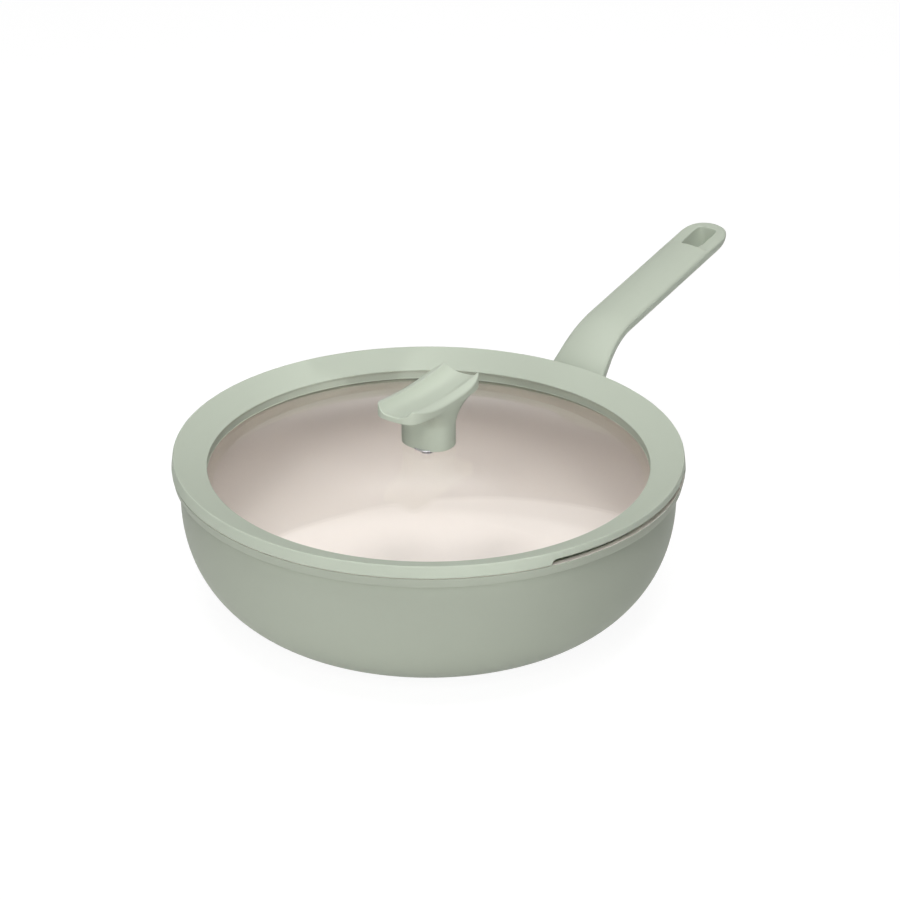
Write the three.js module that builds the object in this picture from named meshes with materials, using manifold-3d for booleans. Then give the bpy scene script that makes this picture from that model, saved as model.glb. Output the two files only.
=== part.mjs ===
// Wok with a glass lid: a forged pan with a long moulded handle, and a domed glass in a silicone
// rim with strainer slots, lifted by a scooped knob.
// Millimetres, +Z up. The origin is the centre of the base underside and the handle points to +X.

import * as THREE from 'three';
import { mergeVertices } from 'three/addons/utils/BufferGeometryUtils.js';
import Module from 'manifold-3d';

const wasm = await Module();
wasm.setup();

const degrees = Math.PI / 180;

// Pan body
const rimHeight = 86.6; // base underside to the rim's top face
const bodyTopRadius = 141.1; // outside of the wall just under the rim band
const rimOverhang = 5.2; // how far the rim's top edge stands out from the wall
const rimBandHeight = 5.7;
const rimBandTaper = 2; // the band leans in by this much at its lower edge
const rimCove = 1.7; // height of the hollow line under the band
const rimLandWidth = 4; // flat top face of the rim
const rimFlare = 0.6; // how squarely the inner wall flares to that face
const coveOut = 0.35; // corner of the hollow line, as shares of its width and height
const coveDown = 0.25;
const wallThickness = 3.5;
const wallLean = 5.4 * degrees; // the wall leaves the rim leaning outwards
const wallReach = 58; // how far down the wall keeps its upper direction
const baseReach = 16; // how far out the base keeps its flat direction
const baseRadius = 90;
const baseThickness = 5;

// Induction plate in the base
const plateRadius = 68;
const plateThickness = 0.8;
const plateHoleRadius = 3.2;
const plateRings = [
  { radius: 22, holes: 6 },
  { radius: 38, holes: 10 },
  { radius: 54, holes: 14 },
];

// Handle
const handleDrop = 15; // rim top down to where the neck's top edges meet the wall
const neckAngle = 41.3 * degrees;
const neckLength = 49.9; // wall to the corner of the bend
const neckWidth = 43;
const neckTaper = 1.7; // how quickly the neck narrows on leaving the wall
const neckDepth = 18;
const neckSide = 1.2; // height of the upright side faces at the wall
const bendRadius = 58;
const gripAngle = 9.5 * degrees;
const gripLength = 139; // corner of the bend to the tip
const gripWidth = 29.5;
const gripDepth = 13;
const gripSide = 1.2;
const gripCrown = 2.2; // the top face bulges by this much
const tipLength = 17; // rounded end of the grip
const tipPower = 2.4; // over 2 makes the end blunter than an ellipse
const hangHoleLength = 24.4;
const hangHoleWidth = 13.8;
const hangHoleCorner = 4;
const hangHoleDraft = 0.18; // the hole narrows by this much on each side for each unit of depth
const hangHoleMargin = 6.2; // from the hole's far end to the tip

// Bracket between the wall and the handle, and its screw
const tongueLength = 32;
const tongueWidth = 13;
const tongueThickness = 6;
const tongueTop = 4; // under the neck's top edge line
const padLength = 5; // thick foot of the tongue at the wall
const padWidth = 24;
const padGrowth = 2; // how far the foot is thicker than the tongue, above and below
const handleScrewPlace = 21; // from the wall along the neck
const handleScrewRadius = 2.4;
const handleScrewHeadRadius = 4.4;
const handleScrewHeadHeight = 2.6;
const handleWasherRadius = 4.9;
const handleWasherThickness = 0.8;
const handleLedge = 2.2; // handle wall between the washer and the tongue's socket

// Silicone rim of the lid
const lidBandHeight = 7.3;
const lidBandLean = 0.8; // the band's top edge is drawn in by this much
const ridgeRound = 0.8;
const funnelDrop = 7.1; // ridge down to the inner lip
const lipHeight = 5.6; // inner lip down to the glass
const lipOverhang = 0.6; // the lip stands out over the wall under it
const lipThickness = 1.6;
const lowerLip = 2; // thickness of the ring that holds the glass from below
const lowerLipSetback = 2.5; // that ring stops this far short of the upper lip
const skirtGap = 1; // between the skirt and the pan's wall
const skirtWall = 4.1;
const slotHeight = 3.4;
const slotDepth = 10.6; // from the band's outside inwards
const slotHalfAngle = 27.5 * degrees;
const slotEndAngle = 1.4 * degrees; // the slot's ends are rounded over this angle
const slotEndHeight = 0.15; // share of the slot's height left at its very ends
const fluteCount = 11;
const fluteSpread = 48 * degrees;
const fluteWidth = 3;
const fluteDepth = 1.8;

// Glass
const glassThickness = 4;
const glassBite = 6; // how deep the glass sits in the silicone
const glassRise = 17.2; // inner lip up to the crown of the dome

// Knob
const knobFootLength = 25; // along the wing
const knobFootWidth = 31.7;
const knobStemHeight = 14.2;
const knobSweepHeight = 12.2; // hollow sweep from the stem into the wing
const knobWingLength = 72;
const knobWingWidth = 33;
const knobWingEdge = 5.1; // wing's edge at the middle of its length
const knobEndRise = 3; // the wing's ends stand higher by this much
const knobScoop = 5; // depth of the trough on top
const knobScoopWidth = 22.6; // the crests beside it are the rest of the wing's width
const knobScoopPower = 2.6; // over 2 makes the trough's sides steeper than a parabola's
const knobCrestFall = 2; // each crest falls by this much from the trough to the wing's outline
const stemPower = 2.3; // outline of the stem, near an ellipse
const wingPower = 3.8; // outline of the wing, near a rounded oblong

// Fastening of the knob, beside the vent
const fastenerOffset = 7.4; // from the lid's axis
const knobScrewRadius = 2;
const knobScrewHeadRadius = 4;
const knobScrewHeadHeight = 2.4;
const insertRadius = 3.6;
const insertLength = 11;
const sealThickness = 1.2;
const sealUpperRadius = 4.1;
const sealLowerRadius = 5.5;
const sleeveWall = 0.6;
const knobWasherRadius = 5.5;
const knobWasherThickness = 0.8;

// Steam vent, on the far side of the lid's axis from the fastener
const ventAngle = 207 * degrees;
const ventOffset = 6.2;
const eyeletRadius = 3; // outside of the barrel
const eyeletWall = 0.6;
const eyeletFlangeRadius = 8;
const eyeletFlangeThickness = 1;
const eyeletCurlRadius = 4; // rolled edge under the glass
const eyeletCurlThickness = 0.6;
const steamGap = 1; // over the flange, in the knob's foot

// Sockets in the screws' heads, as shares of the shank's radius and the head's height
const driveWidth = 0.8;
const driveDepth = 0.6;
const headChamfer = 0.85; // lower edge of a head over its radius
const screwBite = 0.8; // share of the insert's length that the knob's screw fills

// Clearances
const seatGap = 0.3; // between pieces that touch on the real object
const screwGap = 0.3; // round a screw in its hole
const overcut = 1; // how far a cutting shape runs past the face it opens

// Facets
const roundSegments = 64;
const smallSegments = 20;
const slotCrowding = 1.6; // the slot's sections crowd towards its ends

// Heights and radii that follow from the sizes above
const rimRadius = bodyTopRadius + rimOverhang;
const bandBottom = rimHeight - rimBandHeight;
const wallTop = bandBottom - rimCove;
const panInnerRadius = bodyTopRadius - wallThickness;
const lidBottom = rimHeight + seatGap;
const ridgeRadius = rimRadius - lidBandLean;
const ridgeHeight = lidBottom + lidBandHeight;
const skirtRadius = panInnerRadius - skirtGap;
const grooveRadius = skirtRadius - skirtWall;
const glassRadius = grooveRadius - seatGap;
const lipRadius = glassRadius - glassBite;
const lipTop = ridgeHeight - funnelDrop;
const glassAtLip = lipTop - lipHeight;
const domeRadius = (lipRadius ** 2 + glassRise ** 2) / (2 * glassRise);
const domeCentre = glassAtLip + glassRise - domeRadius;
const glassTop = (r) => domeCentre + Math.sqrt(domeRadius ** 2 - r ** 2);
const glassBottom = (r) => domeCentre + Math.sqrt((domeRadius - glassThickness) ** 2 - r ** 2);
const knobFoot = glassTop(0) + seatGap;
const towards = (angle, distance) => [Math.cos(angle) * distance, Math.sin(angle) * distance];
const ventPlace = towards(ventAngle, ventOffset);
const fastenerPlace = towards(ventAngle + Math.PI, fastenerOffset);

const point = (r, z) => new THREE.Vector2(r, z);
const lerp = THREE.MathUtils.lerp;
const clamp = THREE.MathUtils.clamp;

// Welds a geometry to shared vertices, drops collapsed triangles and turns its faces outwards.
function weld(geometry) {
  geometry.deleteAttribute('normal');
  geometry.deleteAttribute('uv');
  const welded = mergeVertices(geometry, 1e-4);
  const place = welded.getAttribute('position');
  const index = welded.getIndex().array;
  const triangles = [];
  const [a, b, c] = [new THREE.Vector3(), new THREE.Vector3(), new THREE.Vector3()];
  let volume = 0;
  for (let i = 0; i < index.length; i += 3) {
    const [p, q, r] = index.slice(i, i + 3);
    if (p === q || q === r || r === p) continue;
    triangles.push([p, q, r]);
    a.fromBufferAttribute(place, p);
    b.fromBufferAttribute(place, q);
    c.fromBufferAttribute(place, r);
    volume += a.dot(b.cross(c));
  }
  welded.setIndex(triangles.flatMap(([p, q, r]) => (volume > 0 ? [p, q, r] : [p, r, q])));
  return welded;
}

function solid(geometry) {
  const welded = weld(geometry);
  return new wasm.Manifold(new wasm.Mesh({
    numProp: 3,
    vertProperties: welded.getAttribute('position').array,
    triVerts: Uint32Array.from(welded.getIndex().array),
  }));
}

function geometryOf(shape) {
  const mesh = shape.getMesh();
  const geometry = new THREE.BufferGeometry();
  geometry.setAttribute('position', new THREE.BufferAttribute(mesh.vertProperties, 3));
  geometry.setIndex(new THREE.BufferAttribute(mesh.triVerts, 1));
  return geometry;
}

// Turns a closed profile of radius and height about the Z axis.
function revolve(profile, segments = roundSegments) {
  return new THREE.LatheGeometry([...profile, profile[0]], segments).rotateX(Math.PI / 2);
}

// A revolved small piece, standing at a place on the lid.
function revolveAt([x, y], profile) {
  return revolve(profile, smallSegments).translate(x, y, 0);
}

const ringProfile = (inner, outer, low, high) => [
  point(inner, low), point(outer, low), point(outer, high), point(inner, high),
];

// Skins a row of matching rings and closes both ends with fans.
function loft(rings) {
  const count = rings[0].length;
  const points = rings.flat();
  const index = [];
  for (let i = 0; i + 1 < rings.length; i += 1) {
    for (let j = 0; j < count; j += 1) {
      const here = i * count + j;
      const next = i * count + ((j + 1) % count);
      index.push(here, next, next + count, here, next + count, here + count);
    }
  }
  [0, rings.length - 1].forEach((end) => {
    const centre = new THREE.Vector3();
    rings[end].forEach((p) => centre.addScaledVector(p, 1 / count));
    points.push(centre);
    for (let j = 0; j < count; j += 1) {
      const here = end * count + j;
      const next = end * count + ((j + 1) % count);
      const hub = points.length - 1;
      index.push(...(end === 0 ? [hub, next, here] : [hub, here, next]));
    }
  });
  const geometry = new THREE.BufferGeometry().setFromPoints(points);
  geometry.setIndex(index);
  return geometry;
}

// Wall line of the pan, from under the rim band down and round to the flat base.
const wallCurve = new THREE.CubicBezierCurve(
  point(bodyTopRadius, wallTop),
  point(bodyTopRadius + Math.sin(wallLean) * wallReach, wallTop - Math.cos(wallLean) * wallReach),
  point(baseRadius + baseReach, 0),
  point(baseRadius, 0),
);
const wallSteps = 11;

// The wall line moved inwards by a thickness that goes from the wall's to the base's.
function wallOffset(atWall, atBase) {
  return Array.from({ length: wallSteps + 1 }, (_, i) => {
    const u = i / wallSteps;
    const along = wallCurve.getTangent(u);
    const inwards = point(along.y, -along.x);
    return wallCurve.getPoint(u).addScaledVector(inwards, lerp(atWall, atBase, u));
  });
}

// Everything inside the pan's outer face, grown by a gap: what the handle's pieces are cut back by.
function insideOfWall(gap) {
  return solid(revolve([
    ...wallOffset(-gap, -gap),
    point(0, -gap),
    point(0, rimHeight),
    point(bodyTopRadius + gap, rimHeight),
  ], roundSegments * 2));
}

function panBody() {
  const flare = new THREE.QuadraticBezierCurve(
    point(rimRadius - rimLandWidth, rimHeight),
    point(panInnerRadius, lerp(wallTop, rimHeight, rimFlare)),
    point(panInnerRadius, wallTop),
  );
  const recessRadius = plateRadius + seatGap;
  return weld(revolve([
    point(0, plateThickness),
    point(recessRadius, plateThickness),
    point(recessRadius, 0),
    ...wallOffset(0, 0).reverse(),
    point(lerp(bodyTopRadius, rimRadius - rimBandTaper, coveOut), bandBottom - rimCove * coveDown),
    point(rimRadius - rimBandTaper, bandBottom),
    point(rimRadius, rimHeight),
    ...flare.getPoints(4).slice(0, -1),
    ...wallOffset(wallThickness, baseThickness),
    point(0, baseThickness),
  ]));
}

function inductionPlate() {
  const outline = Array.from({ length: roundSegments }, (_, i) => {
    return point(...towards((i * 2 * Math.PI) / roundSegments, plateRadius));
  });
  const disc = new THREE.Shape(outline);
  plateRings.forEach(({ radius, holes }) => {
    for (let i = 0; i < holes; i += 1) {
      const [x, y] = towards((i * 2 * Math.PI) / holes, radius);
      disc.holes.push(new THREE.Path().absarc(x, y, plateHoleRadius, 0, 2 * Math.PI));
    }
  });
  const options = { depth: plateThickness, bevelEnabled: false, curveSegments: 4 };
  return weld(new THREE.ExtrudeGeometry(disc, options));
}

// The handle's top edge line in the XZ plane, measured from the wall: neck, round bend and grip.
const bendTurn = neckAngle - gripAngle;
const bendTangent = bendRadius * Math.tan(bendTurn / 2);
const neckStraight = neckLength - bendTangent;
const bendLength = bendRadius * bendTurn;
const handleLength = neckStraight + bendLength + gripLength - bendTangent;

function handleFrame(s) {
  const onNeck = Math.min(s, neckStraight);
  const angle = neckAngle - clamp(s - neckStraight, 0, bendLength) / bendRadius;
  const onGrip = Math.max(s - neckStraight - bendLength, 0);
  const x = bodyTopRadius + onNeck * Math.cos(neckAngle)
    + bendRadius * (Math.sin(neckAngle) - Math.sin(angle)) + onGrip * Math.cos(gripAngle);
  const z = rimHeight - handleDrop + onNeck * Math.sin(neckAngle)
    + bendRadius * (Math.cos(angle) - Math.cos(neckAngle)) + onGrip * Math.sin(gripAngle);
  return { x, z, angle };
}

// A point of the handle's cross-section at s: y across it, h up from the top edge line.
function handlePoint(s, y, h) {
  const { x, z, angle } = handleFrame(s);
  return new THREE.Vector3(x - Math.sin(angle) * h, y, z + Math.cos(angle) * h);
}

const hangHoleEnd = handleLength - hangHoleMargin;
const landStart = hangHoleEnd - hangHoleLength;
const landStep = 0.5; // the crown drops to the flat land round the hole over this length
const tipFlat = 0.02; // the last ring stops this short, where the end still has a width

// Cross-section: a crowned top face, short upright sides and a round belly.
function handleRing(s) {
  const along = clamp(s / (neckStraight + bendLength), 0, 1);
  const intoTip = clamp((s - handleLength + tipLength) / tipLength, 0, 1);
  const rounding = (1 - intoTip ** tipPower) ** (1 / tipPower);
  const half = lerp(gripWidth, neckWidth, (1 - along) ** neckTaper) / 2 * rounding;
  const side = lerp(neckSide, gripSide, along);
  const belly = (lerp(neckDepth, gripDepth, along) - lerp(neckSide, gripSide, along)) * rounding;
  const crown = s > landStart ? 0 : gripCrown;
  const steps = 8;
  const ring = [];
  for (let i = 0; i <= steps; i += 1) {
    const y = lerp(-1, 1, i / steps);
    ring.push(handlePoint(s, y * half, crown * (1 - y ** 2)));
  }
  for (let i = 0; i <= steps; i += 1) {
    const turn = Math.PI * (i / steps);
    ring.push(handlePoint(s, Math.cos(turn) * half, -side - Math.sin(turn) * belly));
  }
  return ring;
}

// Rows of evenly spaced places between two ends.
const spaced = (from, to, count) => Array.from({ length: count + 1 }, (_, i) => lerp(from, to, i / count));

// The bracket's tongue, with its thicker foot at the wall, grown by a gap on every side.
function tongue(gap) {
  const ring = (s, width, growth) => {
    const half = width / 2 + gap;
    const top = -tongueTop + growth + gap;
    const low = -tongueTop - tongueThickness - growth - gap;
    return [[-half, top], [half, top], [half, low], [-half, low]].map(([y, h]) => handlePoint(s, y, h));
  };
  const insideWall = -(neckDepth + padWidth);
  return solid(loft([
    ring(insideWall, padWidth, padGrowth),
    ring(padLength + gap, padWidth, padGrowth),
    ring(padLength + gap, tongueWidth, 0),
    ring(tongueLength + gap, tongueWidth, 0),
  ]));
}

// Stands a piece that was revolved about Z on the handle's screw line, its top towards the tongue.
function onScrewLine(geometry) {
  const { x, z, angle } = handleFrame(handleScrewPlace);
  return geometry.rotateY(-angle).translate(x, 0, z);
}

const socketLow = -tongueTop - tongueThickness - seatGap;
const washerSeat = socketLow - handleLedge;
const screwHeadTop = washerSeat - handleWasherThickness;
const screwEnd = -tongueTop - tongueThickness / 2;

function handleScrewHole(radius, high) {
  return solid(onScrewLine(revolve([
    point(0, -2 * neckDepth), point(radius, -2 * neckDepth), point(radius, high), point(0, high),
  ], smallSegments)));
}

// Hanging hole: a rounded oblong sunk square to the grip, drawn in on every side as it goes down.
function hangHole() {
  const outline = (inset) => {
    const [near, far] = [landStart + inset, hangHoleEnd - inset];
    const half = hangHoleWidth / 2 - inset;
    const corner = hangHoleCorner - inset;
    return new THREE.Shape()
      .moveTo(near + corner, -half)
      .lineTo(far - corner, -half)
      .quadraticCurveTo(far, -half, far, -half + corner)
      .lineTo(far, half - corner)
      .quadraticCurveTo(far, half, far - corner, half)
      .lineTo(near + corner, half)
      .quadraticCurveTo(near, half, near, half - corner)
      .lineTo(near, -half + corner)
      .quadraticCurveTo(near, -half, near + corner, -half)
      .getPoints(4)
      .slice(0, -1);
  };
  const ring = (h) => outline(Math.max(-h, 0) * hangHoleDraft).map(({ x, y }) => handlePoint(x, y, h));
  return solid(loft([gripCrown + overcut, 0, -gripDepth - overcut].map(ring)));
}

function handleGrip() {
  const bendEnd = neckStraight + bendLength;
  const tipStart = handleLength - tipLength;
  const tipSteps = 7;
  const places = [
    -(neckDepth + neckWidth),
    ...spaced(0, neckStraight, 3),
    ...spaced(neckStraight, bendEnd, 7).slice(1),
    ...spaced(bendEnd, landStart, 4).slice(1),
    landStart + landStep,
    tipStart,
    ...spaced(0, 1, tipSteps).slice(1, -1).map((u) => tipStart + tipLength * Math.sin(u * Math.PI / 2)),
    handleLength - tipFlat,
  ].sort((a, b) => a - b);
  return geometryOf(solid(loft(places.map(handleRing)))
    .subtract(insideOfWall(seatGap))
    .subtract(hangHole())
    .subtract(tongue(seatGap))
    .subtract(handleScrewHole(handleScrewRadius + screwGap, socketLow + overcut))
    .subtract(handleScrewHole(handleWasherRadius + screwGap, washerSeat)));
}

function handleBracket() {
  return geometryOf(tongue(0)
    .subtract(insideOfWall(seatGap))
    .subtract(handleScrewHole(handleScrewRadius + screwGap, screwEnd + screwGap)));
}

function handleScrew() {
  const headLow = screwHeadTop - handleScrewHeadHeight;
  const socketRadius = handleScrewRadius * driveWidth;
  const socketTop = headLow + handleScrewHeadHeight * driveDepth;
  return weld(onScrewLine(revolve([
    point(0, socketTop), point(socketRadius, socketTop), point(socketRadius, headLow),
    point(handleScrewHeadRadius * headChamfer, headLow), point(handleScrewHeadRadius, socketTop),
    point(handleScrewHeadRadius, screwHeadTop), point(handleScrewRadius, screwHeadTop),
    point(handleScrewRadius, screwEnd), point(0, screwEnd),
  ], smallSegments)));
}

function handleWasher() {
  const profile = ringProfile(handleScrewRadius + screwGap, handleWasherRadius, screwHeadTop, washerSeat);
  return weld(onScrewLine(revolve(profile, smallSegments)));
}

// Glass with one hole for the knob's screw and one for the vent.
const screwHoleRadius = knobScrewRadius + screwGap + sleeveWall + seatGap;
const ventHoleRadius = eyeletRadius + seatGap;

function drill([x, y], radius) {
  const high = glassTop(0) + glassThickness;
  const low = glassBottom(0) - glassThickness;
  return solid(revolveAt([x, y], [point(0, low), point(radius, low), point(radius, high), point(0, high)]));
}

function lidGlass() {
  const radii = spaced(0, glassRadius, 6);
  const shell = revolve([
    ...radii.map((r) => point(r, glassBottom(r))),
    ...radii.reverse().map((r) => point(r, glassTop(r))),
  ]);
  return geometryOf(solid(shell)
    .subtract(drill(fastenerPlace, screwHoleRadius))
    .subtract(drill(ventPlace, ventHoleRadius)));
}

// Strainer slot: a sector under the band with rounded ends, from outside the band to the skirt.
function slotCutter(middle) {
  const rings = spaced(-1, 1, 34).map((t) => {
    const angle = Math.sign(t) * slotHalfAngle * (1 - (1 - Math.abs(t)) ** slotCrowding);
    const intoEnd = clamp((Math.abs(angle) - slotHalfAngle + slotEndAngle) / slotEndAngle, 0, 1);
    const top = lidBottom + slotHeight * Math.max(Math.sqrt(1 - intoEnd ** 2), slotEndHeight);
    const low = lidBottom - slotHeight / 4;
    const inner = rimRadius - slotDepth;
    const outer = rimRadius + slotDepth;
    const corners = [[inner, low], [outer, low], [outer, top], [inner, top]];
    return corners.map(([r, z]) => {
      const [x, y] = towards(middle + angle, r);
      return new THREE.Vector3(x, y, z);
    });
  });
  return solid(loft(rings));
}

// Upright flutes in the skirt behind a slot: liquid climbs through them and food stays back.
function fluteCutters(middle, low) {
  const high = lidBottom + slotHeight / 2;
  return spaced(-fluteSpread / 2, fluteSpread / 2, fluteCount - 1).map((angle) => solid(
    new THREE.BoxGeometry(2 * fluteDepth, fluteWidth, high - low)
      .translate(skirtRadius, 0, (high + low) / 2)
      .rotateZ(middle + angle),
  ));
}

function lidRim() {
  const wallRadius = lipRadius + lipOverhang;
  const lowerLipRadius = lipRadius + lowerLipSetback;
  const grooveTop = (r) => glassTop(r) + seatGap;
  const grooveLow = (r) => glassBottom(r) - seatGap;
  const skirtBottom = grooveLow(grooveRadius) - lowerLip;
  const ringShape = solid(revolve([
    point(wallRadius, grooveTop(wallRadius)),
    point(wallRadius, lipTop - lipThickness),
    point(lipRadius, lipTop - lipThickness / 2),
    point(lipRadius, lipTop),
    point(ridgeRadius - ridgeRound, ridgeHeight),
    point(ridgeRadius, ridgeHeight - ridgeRound),
    point(rimRadius, lidBottom),
    point(skirtRadius, lidBottom),
    point(skirtRadius, skirtBottom + lowerLip / 2),
    point(skirtRadius - lowerLip / 2, skirtBottom),
    point(lowerLipRadius + lowerLip / 2, skirtBottom),
    point(lowerLipRadius, grooveLow(lowerLipRadius) - lowerLip / 2),
    point(lowerLipRadius, grooveLow(lowerLipRadius)),
    point(grooveRadius, grooveLow(grooveRadius)),
    point(grooveRadius, grooveTop(grooveRadius)),
  ]));
  const sides = [Math.PI / 2, -Math.PI / 2];
  const cuts = sides.flatMap((side) => [slotCutter(side), ...fluteCutters(side, skirtBottom - overcut)]);
  return geometryOf(cuts.reduce((shape, cut) => shape.subtract(cut), ringShape));
}

// One level of the knob: a rounded outline that goes from the oval stem to the squarer wing.
function knobRing(z, halfLength, halfWidth, power) {
  const count = 32;
  return Array.from({ length: count }, (_, i) => {
    const turn = (i / count) * 2 * Math.PI;
    const [c, s] = [Math.cos(turn), Math.sin(turn)];
    const x = Math.sign(c) * Math.abs(c) ** (2 / power) * halfLength;
    const y = Math.sign(s) * Math.abs(s) ** (2 / power) * halfWidth;
    return new THREE.Vector3(x, y, z);
  });
}

const stemTop = knobFoot + knobStemHeight;
const wingLow = stemTop + knobSweepHeight;
const crestHeight = (x) => wingLow + knobWingEdge + knobEndRise * (2 * x / knobWingLength) ** 2;

function knobBody() {
  const sweepRings = spaced(0, 1, 8).map((v) => {
    const out = 1 - Math.sqrt(1 - v ** 2);
    return knobRing(
      stemTop + v * knobSweepHeight,
      lerp(knobFootLength, knobWingLength, out) / 2,
      lerp(knobFootWidth, knobWingWidth, v) / 2,
      lerp(stemPower, wingPower, v),
    );
  });
  const top = crestHeight(knobWingLength / 2) + overcut;
  return solid(loft([
    knobRing(knobFoot, knobFootLength / 2, knobFootWidth / 2, stemPower),
    ...sweepRings,
    knobRing(top, knobWingLength / 2, knobWingWidth / 2, wingPower),
  ]));
}

// Everything above the wing: a trough along it between two crests, which fall away outwards and are
// lifted towards the wing's ends.
function scoopCutter() {
  const reach = knobWingLength / 2 + overcut;
  const high = crestHeight(reach) + knobWingWidth;
  const brink = knobScoopWidth / 2;
  const side = knobWingWidth / 2 + overcut;
  const crestWidth = knobWingWidth / 2 - brink;
  const sunk = (y) => {
    const beyond = Math.abs(y) - brink;
    return beyond < 0
      ? knobScoop * (1 - (Math.abs(y) / brink) ** knobScoopPower)
      : knobCrestFall * (beyond / crestWidth) ** 2;
  };
  const across = [
    ...spaced(-side, -brink, 3), ...spaced(-brink, brink, 10).slice(1, -1), ...spaced(brink, side, 3),
  ];
  return solid(loft(spaced(-reach, reach, 8).map((x) => [
    ...across.map((y) => new THREE.Vector3(x, y, crestHeight(x) - sunk(y))),
    new THREE.Vector3(x, side, high),
    new THREE.Vector3(x, -side, high),
  ])));
}

const flangeTop = glassTop(0) + seatGap + eyeletFlangeThickness;
const sealUpperTop = knobFoot + sealThickness;

function lidKnob() {
  const pocket = (place, radius, top) => solid(revolveAt(place, [
    point(0, knobFoot - overcut), point(radius, knobFoot - overcut), point(radius, top), point(0, top),
  ]));
  const ventNotchTop = flangeTop + steamGap;
  return geometryOf(knobBody()
    .subtract(scoopCutter())
    .subtract(pocket(ventPlace, eyeletFlangeRadius + seatGap, ventNotchTop))
    .subtract(pocket(fastenerPlace, sealUpperRadius + seatGap, sealUpperTop + seatGap))
    .subtract(pocket(fastenerPlace, insertRadius + seatGap, sealUpperTop + 2 * seatGap + insertLength)));
}

const insertLow = sealUpperTop + seatGap;
const screwHoleInInsert = knobScrewRadius + screwGap;

function knobInsert() {
  return weld(revolveAt(fastenerPlace, ringProfile(
    screwHoleInInsert, insertRadius, insertLow, insertLow + insertLength,
  )));
}

function knobSealUpper() {
  const low = glassTop(0) + seatGap / 2;
  return weld(revolveAt(fastenerPlace, ringProfile(screwHoleInInsert, sealUpperRadius, low, sealUpperTop)));
}

// Heights of the stack under the glass, from the lowest point of the glass above each piece.
const underGlass = glassBottom(fastenerOffset + sealLowerRadius) - seatGap;
const washerTop = underGlass - sealThickness;
const knobScrewHeadTop = washerTop - knobWasherThickness;

function knobSealLower() {
  const sleeveTop = glassTop(0) - seatGap;
  const sleeveRadius = screwHoleInInsert + sleeveWall;
  return weld(revolveAt(fastenerPlace, [
    point(screwHoleInInsert, washerTop),
    point(sealLowerRadius, washerTop),
    point(sealLowerRadius, underGlass),
    point(sleeveRadius, underGlass),
    point(sleeveRadius, sleeveTop),
    point(screwHoleInInsert, sleeveTop),
  ]));
}

function knobWasher() {
  return weld(revolveAt(fastenerPlace, ringProfile(
    screwHoleInInsert, knobWasherRadius, knobScrewHeadTop, washerTop,
  )));
}

function knobScrew() {
  const headLow = knobScrewHeadTop - knobScrewHeadHeight;
  const socketRadius = knobScrewRadius * driveWidth;
  const socketTop = headLow + knobScrewHeadHeight * driveDepth;
  const end = insertLow + insertLength * screwBite;
  return weld(revolveAt(fastenerPlace, [
    point(0, socketTop), point(socketRadius, socketTop), point(socketRadius, headLow),
    point(knobScrewHeadRadius * headChamfer, headLow), point(knobScrewHeadRadius, socketTop),
    point(knobScrewHeadRadius, knobScrewHeadTop), point(knobScrewRadius, knobScrewHeadTop),
    point(knobScrewRadius, end), point(0, end),
  ]));
}

// Eyelet: a flange on the glass, a barrel through it and a rolled edge below.
function ventEyelet() {
  const bore = eyeletRadius - eyeletWall;
  const flangeLow = glassTop(0) + seatGap;
  const curlTop = glassBottom(ventOffset + eyeletCurlRadius) - seatGap;
  return weld(revolveAt(ventPlace, [
    point(bore, curlTop - eyeletCurlThickness),
    point(eyeletCurlRadius, curlTop - eyeletCurlThickness),
    point(eyeletCurlRadius, curlTop),
    point(eyeletRadius, curlTop),
    point(eyeletRadius, flangeLow),
    point(eyeletFlangeRadius, flangeLow),
    point(eyeletFlangeRadius - eyeletFlangeThickness / 2, flangeTop),
    point(bore + eyeletWall / 2, flangeTop),
    point(bore, flangeLow),
  ]));
}

// Finishes
const finish = (color, roughness, metalness) => new THREE.MeshStandardMaterial({ color, roughness, metalness });
const sageCoat = finish(0xa9b0a1, 0.55, 0.1);
const sageGrip = finish(0xb7bfae, 0.6, 0);
const sageSilicone = finish(0xb9c2b1, 0.7, 0);
const steel = finish(0xb9bbbe, 0.3, 1);
const castAluminium = finish(0xc4c6c8, 0.45, 1);
const brass = finish(0xc9a65a, 0.35, 1);
const seal = finish(0xd9d9d4, 0.8, 0);
const glass = finish(0xdfe6e2, 0.05, 0);
glass.transparent = true;
glass.opacity = 0.35;

const pan = new THREE.Group();
const lid = new THREE.Group();

function place(group, name, geometry, material) {
  const mesh = new THREE.Mesh(geometry, material);
  mesh.name = name;
  group.add(mesh);
}

place(pan, 'pan_body', panBody(), sageCoat);
place(pan, 'induction_plate', inductionPlate(), steel);
place(pan, 'handle_bracket', handleBracket(), castAluminium);
place(pan, 'handle_grip', handleGrip(), sageGrip);
place(pan, 'handle_screw', handleScrew(), steel);
place(pan, 'handle_washer', handleWasher(), steel);
place(lid, 'lid_glass', lidGlass(), glass);
place(lid, 'lid_rim', lidRim(), sageSilicone);
place(lid, 'lid_knob', lidKnob(), sageGrip);
place(lid, 'knob_insert', knobInsert(), brass);
place(lid, 'knob_screw', knobScrew(), steel);
place(lid, 'knob_washer', knobWasher(), steel);
place(lid, 'knob_seal_upper', knobSealUpper(), seal);
place(lid, 'knob_seal_lower', knobSealLower(), seal);
place(lid, 'vent_eyelet', ventEyelet(), steel);

const wok = new THREE.Group();
wok.add(pan, lid);

export default wok;
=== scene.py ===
import bmesh
import bpy
import numpy as np
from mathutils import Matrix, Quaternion, Vector


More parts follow.
